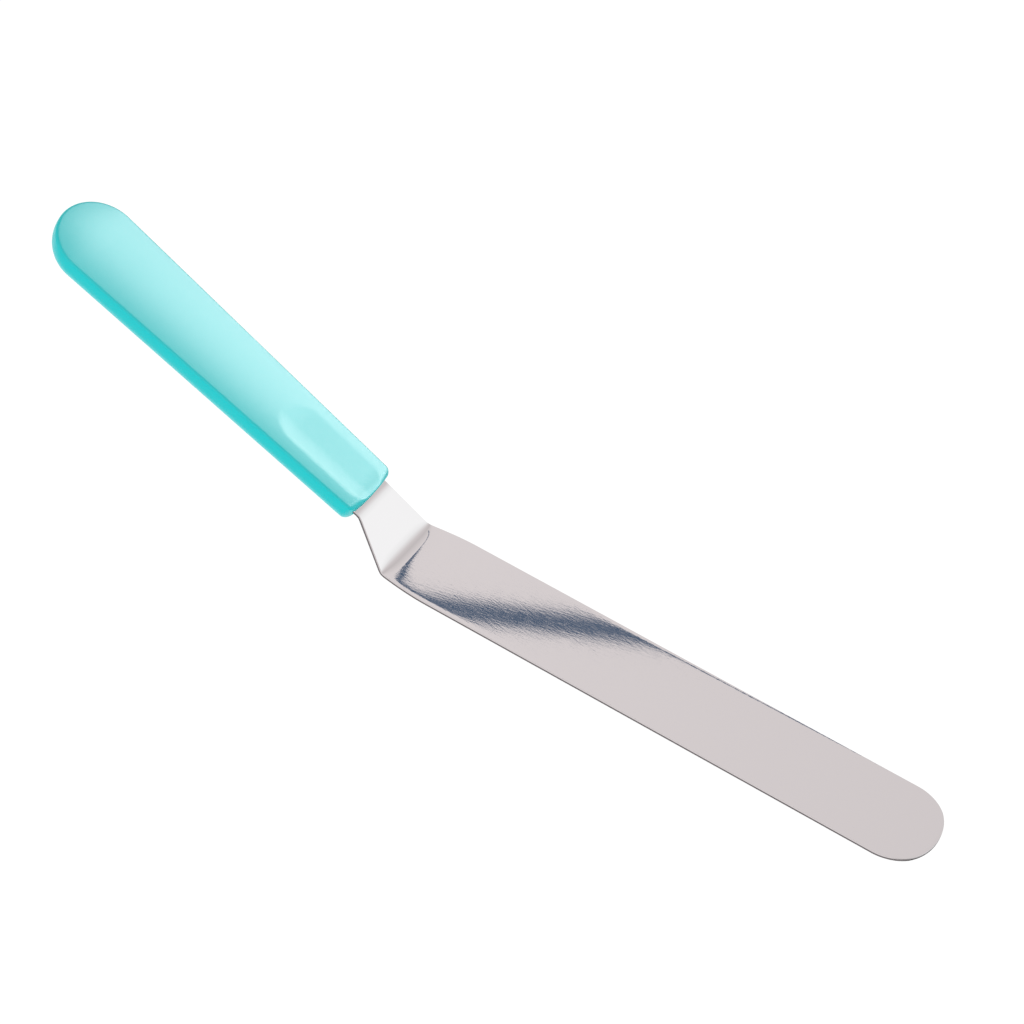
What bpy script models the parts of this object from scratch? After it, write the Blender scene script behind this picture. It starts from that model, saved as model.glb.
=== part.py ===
"""An offset palette knife: one cranked steel strip, gripped by a moulded handle with a thumb rest.

The knife lies with its blade flat on the ground, as it rests on a table. +X runs towards the tip,
+Y is across the blade, and the handle rises towards the back.
"""

import math

import bmesh
import bpy
from mathutils import Vector

MM = 0.001

# The steel strip, as a flat blank. Lengths run along the strip from the heel fold.
SHEET = 1.1 * MM
BLADE_LENGTH = 188.3 * MM
BLADE_WIDTH_HEEL = 32.1 * MM
BLADE_WIDTH_TIP = 32.7 * MM
TIP_LENGTH = 14.6 * MM
TIP_FULLNESS = 2.1
FLARE_LENGTH = 17.5 * MM
HEEL_WIDTH = 28.6 * MM
NECK_LENGTH = 18.0 * MM
NECK_WIDTH = 18.2 * MM

# The two folds of the crank.
NECK_ANGLE = math.radians(42.5)
HANDLE_ANGLE = math.radians(20.5)
HEEL_RADIUS = 9.5 * MM
NECK_RADIUS = 8.0 * MM
FOLD_STEPS = 8
HEEL_REACH = HEEL_RADIUS * math.tan(NECK_ANGLE / 2)
NECK_REACH = NECK_RADIUS * math.tan((NECK_ANGLE - HANDLE_ANGLE) / 2)

# The part of the strip inside the handle.
SHOULDER_INSIDE = 3.5 * MM
TANG_WIDTH = 12.0 * MM
TANG_LENGTH = 92.0 * MM
KEY_HOLE_RADIUS = 2.8 * MM
KEY_HOLES = 3
FIRST_KEY_HOLE = 22.0 * MM
KEY_HOLE_PITCH = 26.0 * MM

# The handle. Heights are above the tang's middle plane.
MOUTH_AFTER_FOLD = 2.0 * MM
HANDLE_LENGTH = 129.1 * MM
HALF_WIDTH_MOUTH = 11.9 * MM
HALF_WIDTH_BUTT = 15.3 * MM
BUTT_LENGTH = 14.2 * MM
RIM_HEIGHT = 2.3 * MM
BELLY_MOUTH = 9.7 * MM
BELLY_BUTT = 10.7 * MM
BELLY_FULLNESS = 2.5
EDGE_RADIUS = 0.8 * MM
CROWN = 1.1 * MM
CORNER_RADIUS = 2.5 * MM
MOUTH_EDGE_RADIUS = 2.5 * MM
MOUTH_SET_BACK = 1.0 * MM
MOUTH_SET_BACK_REACH = 12.0 * MM
SECTION_STEPS = 20

# The thumb rest, a shallow scoop in the top that is round at the back and leaves a rim at the mouth.
REST_DEPTH = 0.856 * MM
REST_LOW_LINE = -1.8 * MM
REST_WALL_WIDTH = 5.6 * MM
REST_WALL_RISE = 0.46 * MM
REST_FAR_SLOPE = 0.045
REST_BACK = 29.3 * MM
REST_END_LENGTH = 8.1 * MM
REST_END_RISE = 0.75 * MM
REST_FRONT = 5.5 * MM
REST_FRONT_LENGTH = 4.3 * MM
REST_FRONT_RISE = 0.35 * MM
REST_RIM_BLEND = 0.12 * MM

# The carrier that the tang is set in before the handle is moulded over both.
CARRIER_FRONT = 6.5 * MM
CARRIER_LENGTH = 98.0 * MM
CARRIER_WIDTH = 15.6 * MM
CARRIER_TOP = 1.8 * MM
CARRIER_BOTTOM = -4.8 * MM
CARRIER_EDGE = 2.2 * MM

# Pieces that touch are modelled this far apart.
GAP = 0.3 * MM


def clear_scene():
    for obj in list(bpy.data.objects):
        bpy.data.objects.remove(obj, do_unlink=True)


def new_collection(name):
    collection = bpy.data.collections.new(name)
    bpy.context.scene.collection.children.link(collection)
    return collection


def principled(name, color, roughness, metallic):
    material = bpy.data.materials.new(name)
    material.use_nodes = True
    shader = material.node_tree.nodes["Principled BSDF"]
    shader.inputs["Base Color"].default_value = (*color, 1.0)
    shader.inputs["Roughness"].default_value = roughness
    shader.inputs["Metallic"].default_value = metallic
    return material


def add_object(name, mesh, collection, material=None):
    obj = bpy.data.objects.new(name, mesh)
    collection.objects.link(obj)
    if material:
        mesh.materials.append(material)
    return obj


def make_cutter(obj):
    obj.hide_render = True
    obj.display_type = "WIRE"


def cut(obj, cutter):
    boolean = obj.modifiers.new("cut_" + cutter.name, "BOOLEAN")
    boolean.operation = "DIFFERENCE"
    boolean.solver = "EXACT"
    boolean.object = cutter


def half_width(along):
    """Half the width of the blank from the neck to the start of the round tip."""
    if along < 0:
        share = max(0.0, 1 + along / NECK_LENGTH)
        return (NECK_WIDTH + (HEEL_WIDTH - NECK_WIDTH) * share) / 2
    if along < FLARE_LENGTH:
        share = math.sin(math.pi / 2 * along / FLARE_LENGTH)
        return (HEEL_WIDTH + (BLADE_WIDTH_HEEL - HEEL_WIDTH) * share) / 2
    share = (along - FLARE_LENGTH) / (BLADE_LENGTH - TIP_LENGTH - FLARE_LENGTH)
    return (BLADE_WIDTH_HEEL + (BLADE_WIDTH_TIP - BLADE_WIDTH_HEEL) * share) / 2


def blank_side():
    """One long side of the blank as (along, across), from the middle of the tip to the tang's end."""
    side = []
    for step in range(17):
        turn = math.pi / 2 * step / 16
        ahead = TIP_LENGTH * math.cos(turn) ** (2 / TIP_FULLNESS)
        across = BLADE_WIDTH_TIP / 2 * math.sin(turn) ** (2 / TIP_FULLNESS)
        side.append((BLADE_LENGTH - TIP_LENGTH + ahead, across))
    for step in range(8, -1, -1):
        along = FLARE_LENGTH * step / 8
        side.append((along, half_width(along)))
    mouth = -NECK_LENGTH - MOUTH_AFTER_FOLD
    shoulder = mouth - SHOULDER_INSIDE
    side.append((-NECK_LENGTH, NECK_WIDTH / 2))
    side.append((shoulder, NECK_WIDTH / 2))
    side.append((shoulder, TANG_WIDTH / 2))
    end = mouth - TANG_LENGTH
    for step in range(9):
        turn = math.pi / 2 * step / 8
        side.append((end + TANG_WIDTH / 2 * (1 - math.sin(turn)), TANG_WIDTH / 2 * math.cos(turn)))
    return side


def add_spline(curve, points):
    spline = curve.splines.new("POLY")
    spline.points.add(len(points) - 1)
    for point, (x, y) in zip(spline.points, points):
        point.co = (x, y, 0, 1)
    spline.use_cyclic_u = True


def grown(points, by):
    """The outline moved outwards by a distance, with mitred corners."""
    moved = []
    for index, point in enumerate(points):
        before = Vector(point) - Vector(points[index - 1])
        after = Vector(points[(index + 1) % len(points)]) - Vector(point)
        out_before = Vector((before.y, -before.x)).normalized()
        out_after = Vector((after.y, -after.x)).normalized()
        middle = (out_before + out_after).normalized()
        moved.append(tuple(Vector(point) + middle * by / max(0.5, middle.dot(out_after))))
    return moved


def backwards(slope):
    """Unit vector in X and Z that leads back along the strip where it climbs at this slope."""
    return Vector((-math.cos(slope), math.sin(slope)))


def on_fold(corner, slope_before, slope_after, radius, share):
    """A point of a fold's arc and the slope there. The share runs from 1 at its front to -1 at its back."""
    turn = slope_after - slope_before
    slope = slope_before + turn * (1 - share) / 2
    start = corner - backwards(slope_before) * radius * math.tan(abs(turn) / 2)
    swing = Vector((math.sin(slope_before) - math.sin(slope), math.cos(slope_before) - math.cos(slope)))
    return start + swing * math.copysign(radius, turn), slope


def fold_point(along, height):
    """Where a point of the blank lands in X and Z once both folds are made."""
    neck_corner = backwards(NECK_ANGLE) * NECK_LENGTH
    past_neck = -NECK_LENGTH - along
    if along >= HEEL_REACH:
        place, slope = Vector((along, 0)), 0.0
    elif along > -HEEL_REACH:
        place, slope = on_fold(Vector((0, 0)), 0.0, NECK_ANGLE, HEEL_RADIUS, along / HEEL_REACH)
    elif past_neck <= -NECK_REACH:
        place, slope = backwards(NECK_ANGLE) * -along, NECK_ANGLE
    elif past_neck < NECK_REACH:
        share = -past_neck / NECK_REACH
        place, slope = on_fold(neck_corner, NECK_ANGLE, HANDLE_ANGLE, NECK_RADIUS, share)
    else:
        place, slope = neck_corner + backwards(HANDLE_ANGLE) * past_neck, HANDLE_ANGLE
    return place + Vector((math.sin(slope), math.cos(slope))) * height


def fold_cuts():
    """Places along the blank where the flat sheet is split so that the folds bend smoothly."""
    shares = [1 - 2 * step / FOLD_STEPS for step in range(FOLD_STEPS + 1)]
    return [HEEL_REACH * share for share in shares] + [NECK_REACH * share - NECK_LENGTH for share in shares]


def strip_mesh(name, grow=0.0):
    """The steel strip as a filled flat outline, folded twice. It lies with its underside on the ground."""
    side = blank_side()
    outline = side + [(x, -y) for x, y in reversed(side[1:-1])]
    curve = bpy.data.curves.new(name, "CURVE")
    curve.dimensions = "2D"
    curve.fill_mode = "BOTH"
    curve.extrude = SHEET / 2 + grow
    add_spline(curve, grown(outline, grow))
    for hole in range(KEY_HOLES):
        along = -NECK_LENGTH - MOUTH_AFTER_FOLD - FIRST_KEY_HOLE - hole * KEY_HOLE_PITCH
        radius = KEY_HOLE_RADIUS - grow
        turns = [math.tau * step / 20 for step in range(20)]
        add_spline(curve, [(along + radius * math.cos(t), radius * math.sin(t)) for t in turns])
    flat = bpy.data.objects.new(name, curve)
    bpy.context.scene.collection.objects.link(flat)
    graph = bpy.context.evaluated_depsgraph_get()
    mesh = bpy.data.meshes.new_from_object(flat.evaluated_get(graph))
    bpy.data.objects.remove(flat, do_unlink=True)

    sheet = bmesh.new()
    sheet.from_mesh(mesh)
    bmesh.ops.remove_doubles(sheet, verts=sheet.verts, dist=0.001 * MM)
    for along in fold_cuts():
        everything = sheet.verts[:] + sheet.edges[:] + sheet.faces[:]
        bmesh.ops.bisect_plane(sheet, geom=everything, plane_co=(along, 0, 0), plane_no=(1, 0, 0))
    for vert in sheet.verts:
        vert.co.x, vert.co.z = fold_point(vert.co.x, vert.co.z)
        vert.co.z += SHEET / 2
    bmesh.ops.recalc_face_normals(sheet, faces=sheet.faces)
    sheet.to_mesh(mesh)
    sheet.free()
    mesh.name = name
    return mesh


def plan_half_width(back):
    """Half the handle's width at a distance behind the mouth."""
    butt_centre = HANDLE_LENGTH - BUTT_LENGTH
    if back > butt_centre:
        return HALF_WIDTH_BUTT * math.sqrt(max(0.0, 1 - ((back - butt_centre) / BUTT_LENGTH) ** 2))
    straight = HALF_WIDTH_MOUTH + (HALF_WIDTH_BUTT - HALF_WIDTH_MOUTH) * back / butt_centre
    inset = max(0.0, CORNER_RADIUS - back)
    return straight - CORNER_RADIUS + math.sqrt(CORNER_RADIUS**2 - inset**2)


def rounding(distance, radius):
    """How far a round edge of this radius has risen at a distance in from its side, from 0 to the radius."""
    left = max(0.0, radius - max(0.0, distance))
    return math.sqrt(max(0.0, radius**2 - left**2))


def lower_of(first, second, blend):
    """The lower of two heights, with the crease between them rounded off."""
    near = max(0.0, 1 - abs(first - second) / blend)
    return min(first, second) - near**2 * blend / 4


def rest_height(back, across):
    """Height of the thumb rest's floor and walls over the handle's top edge."""
    wall = max(0.0, REST_LOW_LINE - across) / REST_WALL_WIDTH
    end = max(0.0, back - REST_BACK) / REST_END_LENGTH
    front = max(0.0, REST_FRONT - back) / REST_FRONT_LENGTH
    floor = CROWN - REST_DEPTH + REST_FAR_SLOPE * max(0.0, across - REST_LOW_LINE)
    return floor + REST_WALL_RISE * wall**2 + REST_END_RISE * end**2 + REST_FRONT_RISE * front**2


def surface_height(back, across, top):
    """Height of the handle's top or bottom over a point of its plan."""
    butt_centre = HANDLE_LENGTH - BUTT_LENGTH
    width = plan_half_width(min(back, butt_centre))
    outward = min(1.0, math.hypot(max(0.0, back - butt_centre) / BUTT_LENGTH, across / width))
    if top:
        roll = rounding(back, MOUTH_EDGE_RADIUS) / MOUTH_EDGE_RADIUS
        edge = rounding((1 - outward) * width, EDGE_RADIUS) * roll
        crown = CROWN * (1 - outward**2)
        return RIM_HEIGHT + edge + lower_of(crown, rest_height(back, across), REST_RIM_BLEND)
    belly = BELLY_MOUTH + (BELLY_BUTT - BELLY_MOUTH) * min(1.0, back / butt_centre)
    belly -= MOUTH_EDGE_RADIUS - rounding(back, MOUTH_EDGE_RADIUS)
    return RIM_HEIGHT - belly * (1 - outward**BELLY_FULLNESS) ** (1 / BELLY_FULLNESS)


def set_back(back, across):
    """How far the sides of the handle's mouth end lie behind its middle, which makes the end convex."""
    fade = max(0.0, 1 - back / MOUTH_SET_BACK_REACH)
    return MOUTH_SET_BACK * (across / HALF_WIDTH_MOUTH) ** 2 * fade**2


def handle_stations():
    """Distances behind the mouth where the handle's sections are taken, close together where it curves."""
    butt_centre = HANDLE_LENGTH - BUTT_LENGTH
    rest_end = REST_BACK + REST_END_LENGTH
    stations = [CORNER_RADIUS * (1 - math.cos(math.pi / 2 * step / 6)) for step in range(6)]
    stations += [CORNER_RADIUS + (rest_end - CORNER_RADIUS) * step / 16 for step in range(16)]
    stations += [rest_end + (butt_centre - rest_end) * step / 8 for step in range(8)]
    stations += [butt_centre + BUTT_LENGTH * math.sin(math.pi / 2 * step / 12) for step in range(12)]
    return stations


def handle_ring(body, back):
    """One section of the handle, over the top from the far rim and back under the belly."""
    width = plan_half_width(back)
    ring = []
    for step in range(2 * SECTION_STEPS):
        across = width * math.cos(math.pi * step / SECTION_STEPS)
        height = surface_height(back, across, top=step < SECTION_STEPS)
        if step in (0, SECTION_STEPS):
            height = RIM_HEIGHT
        ring.append(body.verts.new((-back - set_back(back, across), across, height)))
    return ring


def handle_mesh(name):
    """A loft of unlike sections: a crowned top with a tight edge, over a deep round belly."""
    body = bmesh.new()
    rings = [handle_ring(body, back) for back in handle_stations()]
    butt = body.verts.new((-HANDLE_LENGTH, 0, RIM_HEIGHT))
    mouth = rings[0]
    for step in range(SECTION_STEPS):
        corners = (mouth[step], mouth[step + 1], mouth[-step - 1], mouth[-step])
        body.faces.new(dict.fromkeys(corners))
    for near, far in zip(rings, rings[1:]):
        for step in range(len(near)):
            body.faces.new((near[step - 1], near[step], far[step], far[step - 1]))
    for step in range(len(rings[-1])):
        body.faces.new((rings[-1][step - 1], rings[-1][step], butt))
    bmesh.ops.recalc_face_normals(body, faces=body.faces)
    mesh = bpy.data.meshes.new(name)
    body.to_mesh(mesh)
    body.free()
    return mesh


def carrier_mesh(name, grow=0.0):
    """The carrier's outside: a long bar with rounded edges, in the handle's own frame."""
    bar = bmesh.new()
    bmesh.ops.create_cube(bar, size=1.0)
    length = CARRIER_LENGTH + 2 * grow
    depth = CARRIER_TOP - CARRIER_BOTTOM + 2 * grow
    bmesh.ops.scale(bar, verts=bar.verts, vec=(length, CARRIER_WIDTH + 2 * grow, depth))
    middle = (-CARRIER_FRONT - CARRIER_LENGTH / 2, 0, (CARRIER_TOP + CARRIER_BOTTOM) / 2)
    bmesh.ops.translate(bar, verts=bar.verts, vec=middle)
    bmesh.ops.bevel(
        bar,
        geom=bar.edges[:],
        offset=CARRIER_EDGE + grow,
        segments=4,
        profile=0.5,
        affect="EDGES",
    )
    mesh = bpy.data.meshes.new(name)
    bar.to_mesh(mesh)
    bar.free()
    return mesh


def shade_round(obj):
    for polygon in obj.data.polygons:
        polygon.use_smooth = True
    obj.data.set_sharp_from_angle(angle=math.radians(35))


def centre_on_ground(root, parts):
    """Moves the whole knife so that its box is centred on the origin."""
    bpy.context.view_layer.update()
    ends = [(part.matrix_world @ vert.co).x for part in parts for vert in part.data.vertices]
    root.location.x -= (min(ends) + max(ends)) / 2


def main():
    clear_scene()
    knife = new_collection("offset_palette_knife")
    cutters = new_collection("cutters")
    steel = principled("polished_steel", (0.62, 0.60, 0.60), 0.14, 1.0)
    turquoise = principled("turquoise_plastic", (0.20, 0.78, 0.78), 0.38, 0.0)
    natural = principled("natural_plastic", (0.80, 0.80, 0.76), 0.5, 0.0)

    root = bpy.data.objects.new("knife", None)
    knife.objects.link(root)
    grip = bpy.data.objects.new("grip", None)
    knife.objects.link(grip)
    grip.parent = root
    mouth = fold_point(-NECK_LENGTH - MOUTH_AFTER_FOLD, 0.0)
    grip.location = (mouth.x, 0, mouth.y + SHEET / 2)
    grip.rotation_euler = (0, HANDLE_ANGLE, 0)

    strip = add_object("blade_and_tang", strip_mesh("blade_and_tang"), knife, steel)
    carrier = add_object("tang_carrier", carrier_mesh("tang_carrier"), knife, natural)
    handle = add_object("handle", handle_mesh("handle"), knife, turquoise)
    strip_room = add_object("strip_room", strip_mesh("strip_room", GAP), cutters)
    carrier_room = add_object("carrier_room", carrier_mesh("carrier_room", GAP), cutters)

    for obj in (strip, strip_room):
        obj.parent = root
    for obj in (carrier, handle, carrier_room):
        obj.parent = grip
    for cutter in (strip_room, carrier_room):
        make_cutter(cutter)
    cut(carrier, strip_room)
    cut(handle, carrier_room)
    cut(handle, strip_room)
    for obj in (strip, carrier, handle):
        shade_round(obj)
    centre_on_ground(root, (strip, handle))


main()
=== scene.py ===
import math

import bmesh
import bpy
from mathutils import Euler, Matrix, Vector


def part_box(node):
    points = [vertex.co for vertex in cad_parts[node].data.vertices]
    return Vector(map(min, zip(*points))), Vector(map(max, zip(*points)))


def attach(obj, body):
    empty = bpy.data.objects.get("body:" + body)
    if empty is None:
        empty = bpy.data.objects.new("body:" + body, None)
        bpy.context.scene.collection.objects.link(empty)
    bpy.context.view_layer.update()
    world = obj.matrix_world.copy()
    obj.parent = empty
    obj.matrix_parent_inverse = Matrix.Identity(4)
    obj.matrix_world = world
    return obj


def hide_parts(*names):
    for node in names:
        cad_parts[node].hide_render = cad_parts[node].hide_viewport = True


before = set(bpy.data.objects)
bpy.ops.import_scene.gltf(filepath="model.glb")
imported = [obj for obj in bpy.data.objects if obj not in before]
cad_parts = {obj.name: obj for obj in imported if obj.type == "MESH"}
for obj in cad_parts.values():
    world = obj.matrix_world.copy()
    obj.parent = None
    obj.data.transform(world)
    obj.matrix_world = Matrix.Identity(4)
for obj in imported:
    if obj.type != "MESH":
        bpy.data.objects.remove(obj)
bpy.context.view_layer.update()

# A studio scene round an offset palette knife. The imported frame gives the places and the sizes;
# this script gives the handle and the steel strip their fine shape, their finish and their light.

MM = 0.001

# The steel strip, as a flat blank. Lengths run along the strip from the heel fold.
SHEET = 1.1 * MM
BLADE_LENGTH = 188.3 * MM
BLADE_WIDTH_HEEL = 32.1 * MM
BLADE_WIDTH_TIP = 32.7 * MM
TIP_LENGTH = 14.6 * MM
TIP_FULLNESS = 2.1
FLARE_LENGTH = 17.5 * MM
HEEL_WIDTH = 28.6 * MM
NECK_LENGTH = 18.0 * MM
NECK_WIDTH = 18.2 * MM

# The strip's edges are broken to a small radius, with the outer bands of that still polished,
# and the top face rolls down a little beside them.
EDGE_BREAK = 0.45 * MM
EDGE_BREAK_TURNS = (0, 30, 60, 90)
POLISHED_BANDS = 2
EDGE_ROLL = 0.02 * MM
EDGE_ROLL_WIDTH = 1.5 * MM

# The two folds of the crank. The heel fold tightens towards the sides, and the blade lifts
# a little just ahead of it.
NECK_ANGLE = math.radians(42.5)
HANDLE_ANGLE = math.radians(20.5)
HEEL_RADIUS = 9.5 * MM
NECK_RADIUS = 8.0 * MM
HEEL_REACH = HEEL_RADIUS * math.tan(NECK_ANGLE / 2)
NECK_REACH = NECK_RADIUS * math.tan((NECK_ANGLE - HANDLE_ANGLE) / 2)
HEEL_TIGHTER = 0.63
HEEL_SIDE = 14.0 * MM
SPRING_SLOPE = math.radians(1.15)
SPRING_LENGTH = 2.4 * MM

# The part of the strip inside the handle.
SHOULDER_INSIDE = 3.5 * MM
TANG_WIDTH = 12.0 * MM
TANG_LENGTH = 92.0 * MM
KEY_HOLE_RADIUS = 2.8 * MM
KEY_HOLES = 3
FIRST_KEY_HOLE = 22.0 * MM
KEY_HOLE_PITCH = 26.0 * MM
KEY_HOLE_SIDES = 32

# How closely the strip's rows and columns lie. Shares run from the middle line to the edge.
FLAT_SHARE = 0.9
FLAT_COLUMNS = 20
EDGE_SHARES = (0.93, 0.96, 0.98, 1.0)
TIP_ROWS = 28
TANG_END_ROWS = 6
BLADE_SPACING = 2.5 * MM
FLARE_SPACING = 1.0 * MM
NECK_SPACING = 0.8 * MM
FOLD_SPACING = 0.2 * MM
SHOULDER_STEP = 0.01 * MM

# The handle. Heights are above the tang's middle plane.
MOUTH_AFTER_FOLD = 2.0 * MM
HANDLE_LENGTH = 129.1 * MM
HALF_WIDTH_MOUTH = 11.9 * MM
HALF_WIDTH_BUTT = 15.3 * MM
BUTT_LENGTH = 14.2 * MM
RIM_HEIGHT = 2.3 * MM
BELLY_MOUTH = 9.7 * MM
BELLY_BUTT = 10.7 * MM
BELLY_FULLNESS = 2.5
EDGE_RADIUS = 0.8 * MM
CROWN = 1.1 * MM
CORNER_RADIUS = 2.5 * MM
MOUTH_EDGE_RADIUS = 2.5 * MM
MOUTH_SET_BACK = 1.0 * MM
MOUTH_SET_BACK_REACH = 12.0 * MM

# How closely the handle's sections lie, and the steps over the top of each one.
SECTION_STEPS = 56
CORNER_SECTIONS = 14
BUTT_SECTIONS = 32
MOUTH_SPACING = 0.25 * MM
MOUTH_SPACING_END = 6 * MM
REST_SPACING = 0.5 * MM
REST_MARGIN = 1 * MM
GRIP_SPACING = 3.0 * MM
CREASE_ANGLE = 50

# The thumb rest, a shallow scoop in the top that is round at the back and leaves a rim
# at the mouth. Its floor is lowest a little to the near side of the middle.
REST_DEPTH = 0.856 * MM
REST_LOW_LINE = -1.8 * MM
REST_WALL_WIDTH = 5.6 * MM
REST_WALL_RISE = 0.46 * MM
REST_FAR_SLOPE = 0.045
REST_BACK = 29.3 * MM
REST_END_LENGTH = 8.1 * MM
REST_END_RISE = 0.75 * MM
REST_FRONT = 5.5 * MM
REST_FRONT_LENGTH = 4.3 * MM
REST_FRONT_RISE = 0.35 * MM
REST_RIM_BLEND = 0.12 * MM

# The camera stands off to the front and right of the knife and is rolled a little.
CAMERA_PLACE = Vector((0.30003, -0.77190, 0.82013))
CAMERA_AZIMUTH = 20.875
CAMERA_ELEVATION = 43.442
CAMERA_ROLL = 13.792
LENS = 132.69

SENSOR_WIDTH = 36.0
CLIP_NEAR = 0.05
CLIP_FAR = 20.0

# The finishes' colours.
STEEL = (0.655, 0.65, 0.655, 1)
# The cut edge's grey is darker than the steel's own colour: that darkness is painted shade.
EDGE_STEEL_PAINTED_SHADE = (0.40, 0.39, 0.40, 1)
TURQUOISE = (0.0, 0.60, 0.62, 1)
MILKY = (0.80, 0.80, 0.76, 1)

# The key, a soft light that only the handle's gloss shows.
KEY_LIGHT = 9.4
KEY_WAY = (0.28, 0.74, 0.61)
KEY_DISTANCE = 1.6
KEY_SIZE = (1.4, 1.3)
KEY_TARGET = (0, 0, 0.02)

# The studio's walls as glossy surfaces mirror them: brightness and tint along one direction,
# and the share that goes dark low down at the front. Heights and fronts are direction cosines.
WALL_WAY = (0.863, 0.498, 0.087)
WALL_GLOSS = 2.0
WARM = (0.5, 0.466, 0.466)
NEUTRAL = (0.5, 0.5, 0.5)
WALL_STOPS = ((0.15, 1.03, WARM), (0.35, 0.92, WARM), (0.50, 0.80, WARM),
              (0.62, 0.90, WARM), (0.80, 1.24, NEUTRAL), (0.95, 1.37, NEUTRAL))
LOW_DARK_SHARE = 0.65
LOW_DARK_HEIGHTS = (-0.087, 0.34)
LOW_DARK_FRONTS = (0.0, 0.2)

# The same walls as they light matt surfaces, with more from the front.
DIFFUSE_LIGHT = 0.54
FRONT_FILL = 0.62
FILL_FRONTS = (-0.2, 0.9)

FLOOR_HALF = 6
FLOOR_DROP = 0.0002
FLOOR_GREY = 0.12
FLOOR_GLOW = 0.97

# The dark card over the back of the set.
CARD_MIDDLE = Vector((-0.488, 1.413, 1.5))
CARD_WAY = Vector((0.868, 0.496, 0))
CARD_HALF_WIDTH = 0.0135
CARD_TO_LEFT = 0.38
CARD_TO_RIGHT = 0.42
CARD_COLOR = (0.11, 0.16, 0.25)


def add_object(name, mesh, *materials):
    obj = bpy.data.objects.new(name, mesh)
    bpy.context.scene.collection.objects.link(obj)
    for material in materials:
        mesh.materials.append(material)
    return obj


def smooth(mesh, angle):
    for polygon in mesh.polygons:
        polygon.use_smooth = True
    mesh.set_sharp_from_angle(angle=math.radians(angle))


# ---------------------------------------------------------------- the steel strip


def half_width(along):
    """Half the width of the blank from the neck to the start of the round tip."""
    if along < 0:
        share = max(0.0, 1 + along / NECK_LENGTH)
        return (NECK_WIDTH + (HEEL_WIDTH - NECK_WIDTH) * share) / 2
    if along < FLARE_LENGTH:
        share = math.sin(math.pi / 2 * along / FLARE_LENGTH)
        return (HEEL_WIDTH + (BLADE_WIDTH_HEEL - HEEL_WIDTH) * share) / 2
    share = (along - FLARE_LENGTH) / (BLADE_LENGTH - TIP_LENGTH - FLARE_LENGTH)
    return (BLADE_WIDTH_HEEL + (BLADE_WIDTH_TIP - BLADE_WIDTH_HEEL) * share) / 2


def backwards(slope):
    """Unit vector in X and Z that leads back along the strip where it climbs at this slope."""
    return Vector((-math.cos(slope), math.sin(slope)))


def on_fold(corner, slope_before, slope_after, radius, share):
    """A point of a fold's arc and the slope there. The share runs from 1 in front to -1 behind."""
    turn = slope_after - slope_before
    slope = slope_before + turn * (1 - share) / 2
    start = corner - backwards(slope_before) * radius * math.tan(abs(turn) / 2)
    swing = Vector((math.sin(slope_before) - math.sin(slope),
                    math.cos(slope_before) - math.cos(slope)))
    return start + swing * math.copysign(radius, turn), slope


def spring_rise(ahead, reach):
    """How far the sheet has lifted at a distance ahead of the heel fold, which starts softly."""
    if ahead > 0:
        return SPRING_SLOPE * SPRING_LENGTH * math.exp(-ahead / SPRING_LENGTH)
    inside = min(-ahead, 2 * reach)
    return SPRING_SLOPE * (SPRING_LENGTH + inside - inside**2 / (4 * reach))


def fold_point(along, across, height):
    """Where a point of the blank lands in X and Z once both folds are made."""
    neck_corner = backwards(NECK_ANGLE) * NECK_LENGTH
    past_neck = -NECK_LENGTH - along
    tighter = 1 - HEEL_TIGHTER * min(1.0, abs(across) / HEEL_SIDE) ** 4
    reach = HEEL_REACH * tighter
    if along >= reach:
        place, slope = Vector((along, 0)), 0.0
    elif along > -reach:
        radius = HEEL_RADIUS * tighter
        place, slope = on_fold(Vector((0, 0)), 0.0, NECK_ANGLE, radius, along / reach)
    elif past_neck <= -NECK_REACH:
        place, slope = backwards(NECK_ANGLE) * -along, NECK_ANGLE
    elif past_neck < NECK_REACH:
        share = -past_neck / NECK_REACH
        place, slope = on_fold(neck_corner, NECK_ANGLE, HANDLE_ANGLE, NECK_RADIUS, share)
    else:
        place, slope = neck_corner + backwards(HANDLE_ANGLE) * past_neck, HANDLE_ANGLE
    place = place + Vector((0, spring_rise(along - reach, reach)))
    return place + Vector((math.sin(slope), math.cos(slope))) * height


def steps_between(start, end, spacing):
    """Places from start up to but not including end, no further apart than the spacing."""
    count = max(1, math.ceil(abs(end - start) / spacing))
    return [start + (end - start) * step / count for step in range(count)]


def across_shares():
    """Places across the strip from -1 to 1, close together where its sides roll off."""
    columns = range(FLAT_COLUMNS + 1)
    inner = [-FLAT_SHARE + 2 * FLAT_SHARE * column / FLAT_COLUMNS for column in columns]
    return [-share for share in reversed(EDGE_SHARES)] + inner + list(EDGE_SHARES)


def round_end(length, width, out, share):
    """A point of a round end. Out runs from 0 at its start to 1 at its rim, share across it."""
    x, y = out * math.sqrt(1 - share**2 / 2), share * math.sqrt(1 - out**2 / 2)
    far = math.hypot(x, y)
    full = 1.0
    if far > 0:
        full = (abs(x / far) ** TIP_FULLNESS + abs(y / far) ** TIP_FULLNESS) ** (-1 / TIP_FULLNESS)
    return length * x * full, width * y * full


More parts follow.
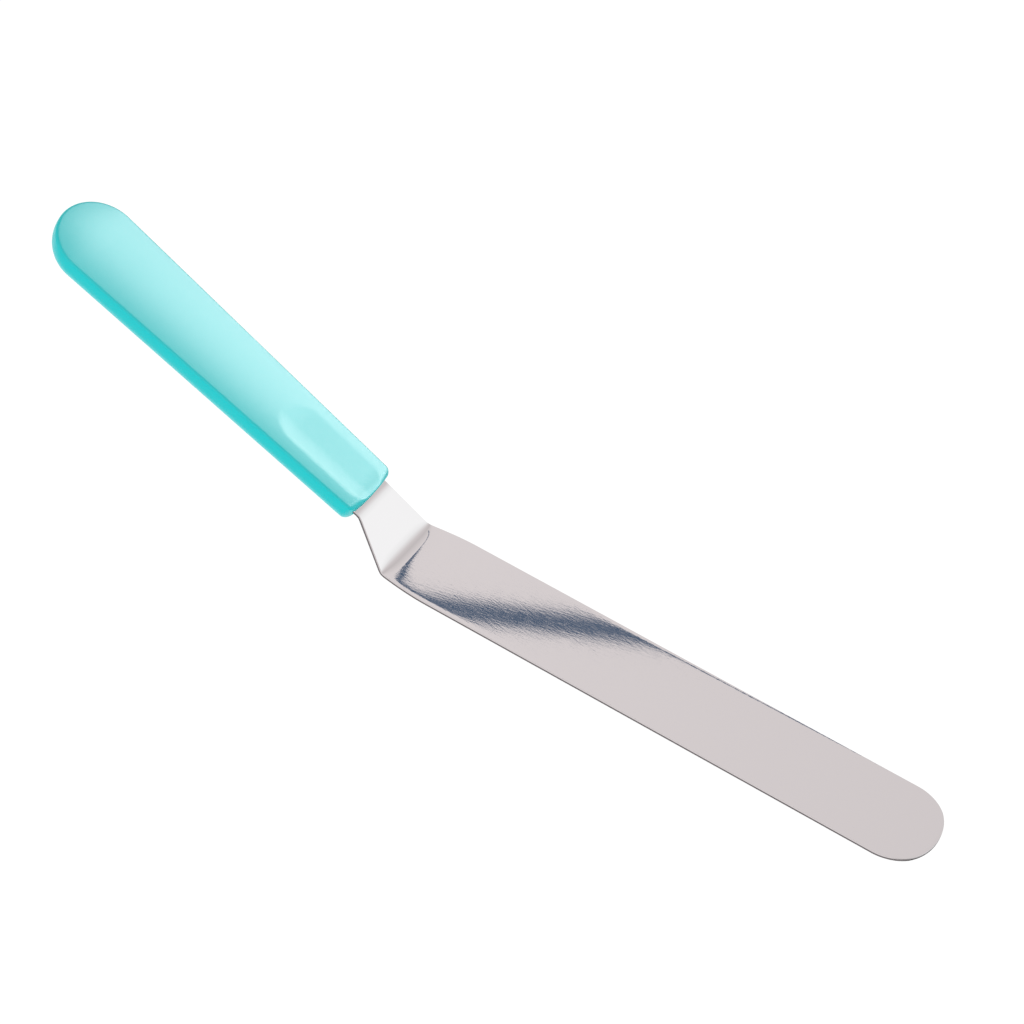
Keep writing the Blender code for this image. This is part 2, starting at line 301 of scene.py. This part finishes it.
def blank_rows():
    """The blank as rows of (along, across, distance from the edge), from the tip backwards."""
    shares = across_shares()
    tip_start = BLADE_LENGTH - TIP_LENGTH
    rows = []
    for step in range(TIP_ROWS, 0, -1):
        out = math.sin(math.pi / 2 * step / TIP_ROWS)
        row = []
        for v in shares:
            x, y = round_end(TIP_LENGTH, BLADE_WIDTH_TIP / 2, out, v)
            row.append((tip_start + x, y, (1 - max(out, abs(v))) * BLADE_WIDTH_TIP / 2))
        rows.append(row)
    mouth = -NECK_LENGTH - MOUTH_AFTER_FOLD
    shoulder = mouth - SHOULDER_INSIDE
    end = mouth - TANG_LENGTH
    places = steps_between(tip_start, FLARE_LENGTH, BLADE_SPACING)
    places += steps_between(FLARE_LENGTH, HEEL_REACH, FLARE_SPACING)
    places += steps_between(HEEL_REACH, -HEEL_REACH, FOLD_SPACING)
    places += steps_between(-HEEL_REACH, NECK_REACH - NECK_LENGTH, NECK_SPACING)
    places += steps_between(NECK_REACH - NECK_LENGTH, -NECK_LENGTH - NECK_REACH, FOLD_SPACING)
    places += [-NECK_LENGTH - NECK_REACH, mouth, shoulder]
    for x in places:
        half = half_width(x)
        rows.append([(x, half * v, half * (1 - abs(v))) for v in shares])
    places = steps_between(shoulder - SHOULDER_STEP, end + TANG_WIDTH / 2, BLADE_SPACING)
    rows += [[(x, TANG_WIDTH / 2 * v, EDGE_ROLL_WIDTH) for v in shares] for x in places]
    for step in range(TANG_END_ROWS + 1):
        out = math.sin(math.pi / 2 * step / TANG_END_ROWS)
        row = [round_end(TANG_WIDTH / 2, TANG_WIDTH / 2, out, v) for v in shares]
        rows.append([(end + TANG_WIDTH / 2 - x, y, EDGE_ROLL_WIDTH) for x, y in row])
    return rows


def roll_off(edge):
    """How far the top face has dropped at a distance from the strip's edge."""
    return EDGE_ROLL * max(0.0, 1 - edge / EDGE_ROLL_WIDTH) ** 2


def strip_mesh(name):
    """The steel strip: a flat grid with a thickness and broken edges, folded twice."""
    rows = blank_rows()
    last = len(rows[0]) - 1
    sheet = bmesh.new()
    top, low = [], []
    for row in rows:
        top.append([sheet.verts.new((x, y, SHEET / 2 - roll_off(edge))) for x, y, edge in row])
    for row in rows:
        low.append([sheet.verts.new((x, y, -SHEET / 2)) for x, y, edge in row])
    for near in range(len(rows) - 1):
        far = near + 1
        for step in range(last):
            side = step + 1
            sheet.faces.new((top[near][step], top[near][side], top[far][side], top[far][step]))
            sheet.faces.new((low[near][step], low[far][step], low[far][side], low[near][side]))

    rim = [(0, step) for step in range(last)] + [(row, last) for row in range(len(rows) - 1)]
    rim += [(len(rows) - 1, step) for step in range(last, 0, -1)]
    rim += [(row, 0) for row in range(len(rows) - 1, 0, -1)]
    places = [Vector(rows[row][step][:2]) for row, step in rim]
    outward = []
    for index, place in enumerate(places):
        before = (place - places[index - 1]).normalized()
        after = (places[(index + 1) % len(places)] - place).normalized()
        along = (before + after).normalized()
        outward.append(Vector((along.y, -along.x)))
    centre = sum(places, Vector((0, 0))) / len(places)
    if (places[0] - centre).dot(outward[0]) < 0:
        outward = [-way for way in outward]
    loops = []
    for turn in EDGE_BREAK_TURNS:
        angle = math.radians(turn)
        out, drop = EDGE_BREAK * (math.sin(angle) - 1), EDGE_BREAK * (1 - math.cos(angle))
        loops.append((out, SHEET / 2 - drop))
    profile = loops + [(out, -height) for out, height in reversed(loops)]
    wall = []
    for out, height in profile:
        ring = []
        for index, (row, step) in enumerate(rim):
            if (out, height) in (profile[0], profile[-1]):
                vert = (top if height > 0 else low)[row][step]
                vert.co.x = places[index].x + outward[index].x * out
                vert.co.y = places[index].y + outward[index].y * out
            else:
                place = places[index] + outward[index] * out
                vert = sheet.verts.new((place.x, place.y, height))
            ring.append(vert)
        wall.append(ring)
    for band, (upper, lower) in enumerate(zip(wall, wall[1:])):
        for index in range(len(rim)):
            corners = (upper[index - 1], upper[index], lower[index], lower[index - 1])
            face = sheet.faces.new(corners)
            # Bands past the polished ones take the cut edge's finish, whose darker colour is
            # painted shade.
            face.material_index = 0 if band < POLISHED_BANDS else 1
    bmesh.ops.recalc_face_normals(sheet, faces=sheet.faces)
    mesh = bpy.data.meshes.new(name)
    sheet.to_mesh(mesh)
    sheet.free()
    return mesh


def key_hole_cutter():
    """Short round bars through the places where the tang is keyed to its carrier."""
    bars = bmesh.new()
    for hole in range(KEY_HOLES):
        along = -NECK_LENGTH - MOUTH_AFTER_FOLD - FIRST_KEY_HOLE - hole * KEY_HOLE_PITCH
        place = Matrix.Translation((along, 0, 0))
        bmesh.ops.create_cone(bars, segments=KEY_HOLE_SIDES, cap_ends=True, radius1=KEY_HOLE_RADIUS,
                              radius2=KEY_HOLE_RADIUS, depth=4 * SHEET, matrix=place)
    for face in bars.faces:
        face.material_index = 1
    mesh = bpy.data.meshes.new("key_hole_bars")
    bars.to_mesh(mesh)
    bars.free()
    return mesh


def cut_now(obj, cutter):
    """Cuts the object's mesh with a Boolean and removes the cutter."""
    boolean = obj.modifiers.new("cut", "BOOLEAN")
    boolean.operation = "DIFFERENCE"
    boolean.solver = "EXACT"
    boolean.object = cutter
    graph = bpy.context.evaluated_depsgraph_get()
    made = bpy.data.meshes.new_from_object(obj.evaluated_get(graph))
    obj.modifiers.clear()
    obj.data = made
    bpy.data.objects.remove(cutter, do_unlink=True)


def make_strip(steel, edge_with_painted_shade):
    """The folded strip, put where the frame's strip is."""
    strip = add_object("steel_strip", strip_mesh("steel_strip"), steel, edge_with_painted_shade)
    cut_now(strip, add_object("key_hole_bars", key_hole_cutter(), steel, edge_with_painted_shade))
    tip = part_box("blade_and_tang")[1].x - BLADE_LENGTH
    for vert in strip.data.vertices:
        x, z = fold_point(vert.co.x, vert.co.y, vert.co.z)
        vert.co = (x + tip, vert.co.y, z + SHEET / 2)
    smooth(strip.data, CREASE_ANGLE)
    return strip


# ---------------------------------------------------------------- the handle


def plan_half_width(back):
    """Half the handle's width at a distance behind the mouth."""
    butt_centre = HANDLE_LENGTH - BUTT_LENGTH
    if back > butt_centre:
        return HALF_WIDTH_BUTT * math.sqrt(max(0.0, 1 - ((back - butt_centre) / BUTT_LENGTH) ** 2))
    straight = HALF_WIDTH_MOUTH + (HALF_WIDTH_BUTT - HALF_WIDTH_MOUTH) * back / butt_centre
    inset = max(0.0, CORNER_RADIUS - back)
    return straight - CORNER_RADIUS + math.sqrt(CORNER_RADIUS**2 - inset**2)


def rounding(distance, radius):
    """How far a round edge of this radius has risen at a distance in from its side."""
    left = max(0.0, radius - max(0.0, distance))
    return math.sqrt(max(0.0, radius**2 - left**2))


def lower_of(first, second, blend):
    """The lower of two heights, with the crease between them rounded off."""
    near = max(0.0, 1 - abs(first - second) / blend)
    return min(first, second) - near**2 * blend / 4


def rest_height(back, across):
    """Height of the thumb rest's floor and walls over the handle's top edge."""
    wall = max(0.0, REST_LOW_LINE - across) / REST_WALL_WIDTH
    end = max(0.0, back - REST_BACK) / REST_END_LENGTH
    front = max(0.0, REST_FRONT - back) / REST_FRONT_LENGTH
    floor = CROWN - REST_DEPTH + REST_FAR_SLOPE * max(0.0, across - REST_LOW_LINE)
    return floor + REST_WALL_RISE * wall**2 + REST_END_RISE * end**2 + REST_FRONT_RISE * front**2


def surface_height(back, across, top):
    """Height of the handle's top or bottom over a point of its plan."""
    butt_centre = HANDLE_LENGTH - BUTT_LENGTH
    width = plan_half_width(min(back, butt_centre))
    outward = min(1.0, math.hypot(max(0.0, back - butt_centre) / BUTT_LENGTH, across / width))
    if top:
        roll = rounding(back, MOUTH_EDGE_RADIUS) / MOUTH_EDGE_RADIUS
        edge = rounding((1 - outward) * width, EDGE_RADIUS) * roll
        crown = CROWN * (1 - outward**2)
        return RIM_HEIGHT + edge + lower_of(crown, rest_height(back, across), REST_RIM_BLEND)
    belly = BELLY_MOUTH + (BELLY_BUTT - BELLY_MOUTH) * min(1.0, back / butt_centre)
    belly -= MOUTH_EDGE_RADIUS - rounding(back, MOUTH_EDGE_RADIUS)
    return RIM_HEIGHT - belly * (1 - outward**BELLY_FULLNESS) ** (1 / BELLY_FULLNESS)


def set_back(back, across):
    """How far the sides of the handle's mouth lie behind its middle, which makes it convex."""
    fade = max(0.0, 1 - back / MOUTH_SET_BACK_REACH)
    return MOUTH_SET_BACK * (across / HALF_WIDTH_MOUTH) ** 2 * fade**2


def handle_stations():
    """Distances behind the mouth where sections are taken, close together where it curves."""
    butt_centre = HANDLE_LENGTH - BUTT_LENGTH
    rest_end = REST_BACK + REST_END_LENGTH + REST_MARGIN
    quarter = math.pi / 2
    stations = [CORNER_RADIUS * (1 - math.cos(quarter * step / CORNER_SECTIONS))
                for step in range(CORNER_SECTIONS)]
    stations += steps_between(CORNER_RADIUS, MOUTH_SPACING_END, MOUTH_SPACING)
    stations += steps_between(MOUTH_SPACING_END, rest_end, REST_SPACING)
    stations += steps_between(rest_end, butt_centre, GRIP_SPACING)
    stations += [butt_centre + BUTT_LENGTH * math.sin(quarter * step / BUTT_SECTIONS)
                 for step in range(BUTT_SECTIONS)]
    return stations


def handle_ring(body, back):
    """One section of the handle, over the top from the far rim and back under the belly."""
    width = plan_half_width(back)
    ring = []
    for step in range(2 * SECTION_STEPS):
        across = width * math.cos(math.pi * step / SECTION_STEPS)
        height = surface_height(back, across, top=step < SECTION_STEPS)
        if step in (0, SECTION_STEPS):
            height = RIM_HEIGHT
        ring.append(body.verts.new((-back - set_back(back, across), across, height)))
    return ring


def handle_mesh(name):
    """A loft of unlike sections: a crowned top with a tight edge, over a deep round belly."""
    body = bmesh.new()
    rings = [handle_ring(body, back) for back in handle_stations()]
    butt = body.verts.new((-HANDLE_LENGTH, 0, RIM_HEIGHT))
    mouth = rings[0]
    for step in range(SECTION_STEPS):
        corners = (mouth[step], mouth[step + 1], mouth[-step - 1], mouth[-step])
        body.faces.new(dict.fromkeys(corners))
    for near, far in zip(rings, rings[1:]):
        for step in range(len(near)):
            body.faces.new((near[step - 1], near[step], far[step], far[step - 1]))
    for step in range(len(rings[-1])):
        body.faces.new((rings[-1][step - 1], rings[-1][step], butt))
    bmesh.ops.recalc_face_normals(body, faces=body.faces)
    mesh = bpy.data.meshes.new(name)
    body.to_mesh(mesh)
    body.free()
    return mesh


def make_handle(plastic, matt):
    """The moulded handle, put where the strip goes in.

    Its mouth face is matt, so that the steel beside it doesn't mirror the key light in it.
    """
    mesh = handle_mesh("handle_moulding")
    x, z = fold_point(-NECK_LENGTH - MOUTH_AFTER_FOLD, 0.0, 0.0)
    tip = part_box("blade_and_tang")[1].x - BLADE_LENGTH
    place = (x + tip, 0, z + SHEET / 2 - spring_rise(-2 * HEEL_REACH, HEEL_REACH))
    mesh.transform(Matrix.Translation(place) @ Matrix.Rotation(HANDLE_ANGLE, 4, "Y"))
    handle = add_object("handle_moulding", mesh, plastic, matt)
    smooth(mesh, CREASE_ANGLE)
    for polygon in mesh.polygons[:SECTION_STEPS]:
        polygon.use_smooth = False
        polygon.material_index = 1
    return handle


# ---------------------------------------------------------------- finishes


def new_material(name):
    material = bpy.data.materials.new(name)
    material.use_nodes = True
    return material, material.node_tree, material.node_tree.nodes["Principled BSDF"]


def node(tree, kind, **settings):
    made = tree.nodes.new(kind)
    for key, value in settings.items():
        if key.startswith("in_"):
            made.inputs[key[3:].replace("_", " ")].default_value = value
        else:
            setattr(made, key, value)
    return made


def object_noise(tree, stretch, scale, detail, turn=0.0):
    """Noise over the object's own coordinates in metres, turned about Z and stretched."""
    coordinates = node(tree, "ShaderNodeTexCoord")
    mapping = node(tree, "ShaderNodeMapping", vector_type="TEXTURE")
    mapping.inputs["Scale"].default_value = [1 / share for share in stretch]
    mapping.inputs["Rotation"].default_value = (0, 0, math.radians(turn))
    pattern = node(tree, "ShaderNodeTexNoise", in_Scale=scale, in_Detail=detail)
    tree.links.new(coordinates.outputs["Object"], mapping.inputs["Vector"])
    tree.links.new(mapping.outputs["Vector"], pattern.inputs["Vector"])
    return pattern.outputs["Fac"]


def spread(tree, value, low, high):
    """Maps a pattern's middle range to the values from low to high."""
    ranged = node(tree, "ShaderNodeMapRange", in_From_Min=0.3, in_From_Max=0.7,
                  in_To_Min=low, in_To_Max=high)
    tree.links.new(value, ranged.inputs["Value"])
    return ranged.outputs["Result"]


def bump(tree, height, strength, distance, before=None):
    made = node(tree, "ShaderNodeBump", in_Strength=strength, in_Distance=distance)
    tree.links.new(height, made.inputs["Height"])
    if before:
        tree.links.new(before, made.inputs["Normal"])
    return made.outputs["Normal"]


def polished_steel():
    """Bright rolled steel with fine polishing lines and two sets of scratches along the blade."""
    material, tree, shader = new_material("polished_steel_finish")
    shader.inputs["Base Color"].default_value = STEEL
    shader.inputs["Metallic"].default_value = 1.0
    lines = object_noise(tree, stretch=(0.1, 1, 1), scale=2600, detail=3)
    tree.links.new(spread(tree, lines, low=0.01, high=0.04), shader.inputs["Roughness"])
    normal = bump(tree, lines, strength=1.0, distance=0.00025 * MM)
    for turn in (16, -14):
        scratches = object_noise(tree, stretch=(0.07, 1, 1), scale=2400, detail=2, turn=turn)
        normal = bump(tree, scratches, strength=1.0, distance=0.0009 * MM, before=normal)
    tree.links.new(normal, shader.inputs["Normal"])
    return material


def edge_steel_painted_shade():
    """The strip's cut edge, ground and rougher than its faces; its darker colour is painted shade.
    """
    material, tree, shader = new_material("edge_steel_painted_shade_finish")
    # This darker base colour is painted shade on the edge; only the roughness is the edge's own.
    shader.inputs["Base Color"].default_value = EDGE_STEEL_PAINTED_SHADE
    shader.inputs["Metallic"].default_value = 1.0
    lines = object_noise(tree, stretch=(1, 1, 0.1), scale=3000, detail=2)
    tree.links.new(spread(tree, lines, low=0.35, high=0.5), shader.inputs["Roughness"])
    return material


def turquoise_plastic(name, smoothest, roughest, shine):
    """Moulded plastic with a fine grain, between two roughnesses."""
    material, tree, shader = new_material(name)
    shader.inputs["Base Color"].default_value = TURQUOISE
    shader.inputs["IOR"].default_value = 1.5
    shader.inputs["Specular IOR Level"].default_value = shine
    grain = object_noise(tree, stretch=(1, 1, 1), scale=900, detail=3)
    tree.links.new(spread(tree, grain, smoothest, roughest), shader.inputs["Roughness"])
    normal = bump(tree, grain, strength=0.05, distance=0.02 * MM)
    tree.links.new(normal, shader.inputs["Normal"])
    return material


def natural_plastic():
    """The milky plastic of the carrier inside the handle."""
    material, tree, shader = new_material("natural_plastic_finish")
    shader.inputs["Base Color"].default_value = MILKY
    grain = object_noise(tree, stretch=(1, 1, 1), scale=500, detail=3)
    tree.links.new(spread(tree, grain, low=0.42, high=0.55), shader.inputs["Roughness"])
    normal = bump(tree, grain, strength=0.1, distance=0.03 * MM)
    tree.links.new(normal, shader.inputs["Normal"])
    return material


# ---------------------------------------------------------------- the studio


def glow(name, color, strength):
    material = bpy.data.materials.new(name)
    material.use_nodes = True
    tree = material.node_tree
    tree.nodes.clear()
    light = node(tree, "ShaderNodeEmission", in_Color=(*color, 1), in_Strength=strength)
    output = node(tree, "ShaderNodeOutputMaterial")
    tree.links.new(light.outputs["Emission"], output.inputs["Surface"])
    return material


def stage_sheet(name, corners, material):
    """One flat sheet of the studio, which isn't part of the knife."""
    mesh = bpy.data.meshes.new(name)
    mesh.from_pydata(corners, [], [(0, 1, 2, 3)])
    sheet = add_object(name, mesh, material)
    return sheet


def make_floor():
    """A white floor that glows enough to hide its own edges. The steel doesn't mirror it."""
    material, tree, shader = new_material("pale_floor")
    shader.inputs["Base Color"].default_value = (FLOOR_GREY, FLOOR_GREY, FLOOR_GREY, 1)
    shader.inputs["Roughness"].default_value = 0.9
    shader.inputs["Specular IOR Level"].default_value = 0.0
    shader.inputs["Emission Color"].default_value = (1, 1, 1, 1)
    shader.inputs["Emission Strength"].default_value = FLOOR_GLOW
    corners = [(x * FLOOR_HALF, y * FLOOR_HALF, -FLOOR_DROP)
               for x, y in ((-1, -1), (1, -1), (1, 1), (-1, 1))]
    stage_sheet("floor", corners, material).visible_glossy = False


def make_dark_card():
    """A long narrow blue-grey card over the back of the set. Only reflections show it."""
    side = Vector((-CARD_WAY.y, CARD_WAY.x, 0)) * CARD_HALF_WIDTH
    start = CARD_MIDDLE - CARD_WAY * CARD_TO_LEFT
    end = CARD_MIDDLE + CARD_WAY * CARD_TO_RIGHT
    card = stage_sheet("dark_card", [start - side, end - side, end + side, start + side],
                       glow("dark_card", CARD_COLOR, 1.0))
    card.visible_camera = card.visible_diffuse = card.visible_shadow = False


def aimed(place, target):
    return (Vector(target) - Vector(place)).to_track_quat("-Z", "Y").to_euler()


def soft_light(name, way, distance, size, radiance):
    """A white soft light that faces the knife from a direction, bright by its radiance."""
    light = bpy.data.lights.new(name, "AREA")
    light.shape = "RECTANGLE"
    light.size, light.size_y = size
    light.energy = radiance * math.pi * size[0] * size[1]
    obj = bpy.data.objects.new(name, light)
    obj.location = Vector(way).normalized() * distance
    obj.rotation_euler = aimed(obj.location, KEY_TARGET)
    bpy.context.scene.collection.objects.link(obj)
    return obj


def make_camera():
    camera = bpy.data.cameras.new("camera")
    camera.sensor_width = SENSOR_WIDTH
    camera.lens = LENS
    camera.clip_start, camera.clip_end = CLIP_NEAR, CLIP_FAR
    obj = bpy.data.objects.new("camera", camera)
    azimuth, elevation = math.radians(CAMERA_AZIMUTH), math.radians(CAMERA_ELEVATION)
    look = Euler((math.pi / 2 - elevation, 0, azimuth)).to_matrix()
    obj.rotation_euler = (look @ Matrix.Rotation(math.radians(CAMERA_ROLL), 3, "Z")).to_euler()
    obj.location = CAMERA_PLACE
    bpy.context.scene.collection.objects.link(obj)
    bpy.context.scene.camera = obj


def facing(tree, direction, way):
    """How much each direction of the world points a given way, from -1 to 1."""
    product = node(tree, "ShaderNodeVectorMath", operation="DOT_PRODUCT")
    tree.links.new(direction, product.inputs[0])
    product.inputs[1].default_value = way
    return product.outputs["Value"]


def between(tree, value, low, high, first, last):
    """Maps a value that runs from low to high to one that runs from first to last."""
    ranged = node(tree, "ShaderNodeMapRange", in_From_Min=low, in_From_Max=high)
    ranged.inputs["To Min"].default_value, ranged.inputs["To Max"].default_value = first, last
    tree.links.new(value, ranged.inputs["Value"])
    return ranged.outputs["Result"]


def math_node(tree, operation, first, second):
    made = node(tree, "ShaderNodeMath", operation=operation)
    for socket, value in zip(made.inputs, (first, second)):
        if isinstance(value, (int, float)):
            socket.default_value = value
        else:
            tree.links.new(value, socket)
    return made.outputs["Value"]


def make_world():
    """A white studio, white to the camera, with its own light for mirrors and for matt surfaces.

    Mirrored walls grow brighter to one side and fall dark low down at the front. Matt surfaces
    get an even light that is stronger from the front.
    """
    world = bpy.data.worlds.new("white_studio")
    bpy.context.scene.world = world
    world.use_nodes = True
    tree = world.node_tree
    direction = node(tree, "ShaderNodeTexCoord").outputs["Generated"]
    side = facing(tree, direction, WALL_WAY)
    ramp = node(tree, "ShaderNodeValToRGB")
    while len(ramp.color_ramp.elements) < len(WALL_STOPS):
        ramp.color_ramp.elements.new(0.5)
    for element, (place, light, tint) in zip(ramp.color_ramp.elements, WALL_STOPS):
        element.position = place
        element.color = (*[light * share for share in tint], 1)
    tree.links.new(side, ramp.inputs["Fac"])
    height = facing(tree, direction, (0, 0, 1))
    forward = facing(tree, direction, (0, -1, 0))
    low = between(tree, height, *LOW_DARK_HEIGHTS, LOW_DARK_SHARE, 0.0)
    front = between(tree, forward, *LOW_DARK_FRONTS, 0.0, 1.0)
    open_share = math_node(tree, "SUBTRACT", 1.0, math_node(tree, "MULTIPLY", low, front))
    mirrored = math_node(tree, "MULTIPLY", open_share, WALL_GLOSS)
    rays = node(tree, "ShaderNodeLightPath")
    strength = math_node(tree, "MULTIPLY", rays.outputs["Is Glossy Ray"], mirrored)
    strength = math_node(tree, "ADD", strength, rays.outputs["Is Camera Ray"])
    brightest = DIFFUSE_LIGHT + FRONT_FILL
    fill = between(tree, forward, *FILL_FRONTS, DIFFUSE_LIGHT, brightest)
    soft = math_node(tree, "MULTIPLY", rays.outputs["Is Diffuse Ray"], fill)
    strength = math_node(tree, "ADD", strength, soft)
    tree.links.new(strength, tree.nodes["Background"].inputs["Strength"])
    color = node(tree, "ShaderNodeMix", data_type="RGBA")
    colors = [socket for socket in color.inputs if socket.type == "RGBA"]
    colors[0].default_value = (1, 1, 1, 1)
    tree.links.new(rays.outputs["Is Glossy Ray"], color.inputs["Factor"])
    tree.links.new(ramp.outputs["Color"], colors[1])
    out = [socket for socket in color.outputs if socket.type == "RGBA"][0]
    tree.links.new(out, tree.nodes["Background"].inputs["Color"])
    world.cycles.sampling_method = "NONE"


def light_only(light, *objects):
    """Keeps a light on the given objects and off everything else."""
    lit = bpy.data.collections.new(light.name + "_lit")
    for obj in objects:
        lit.objects.link(obj)
    light.light_linking.receiver_collection = lit


def main():
    bpy.context.scene.view_settings.view_transform = "Standard"
    make_camera()
    make_world()
    make_floor()
    make_dark_card()

    strip = make_strip(polished_steel(), edge_steel_painted_shade())
    satin = turquoise_plastic("turquoise_plastic_finish",
                              smoothest=0.31, roughest=0.36, shine=0.5)
    matt = turquoise_plastic("turquoise_plastic_mouth",
                             smoothest=0.65, roughest=0.75, shine=0.05)
    handle = make_handle(satin, matt)
    for piece, replaced, slot in ((strip, "blade_and_tang", "polished_steel"),
                                  (handle, "handle", "turquoise_plastic")):
        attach(piece, "root")
        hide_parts(replaced)
    key = soft_light("key", KEY_WAY, KEY_DISTANCE, KEY_SIZE, KEY_LIGHT)
    key.visible_diffuse = False
    light_only(key, handle)
    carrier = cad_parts["tang_carrier"]
    carrier.data.materials.clear()
    carrier.data.materials.append(natural_plastic())


main()
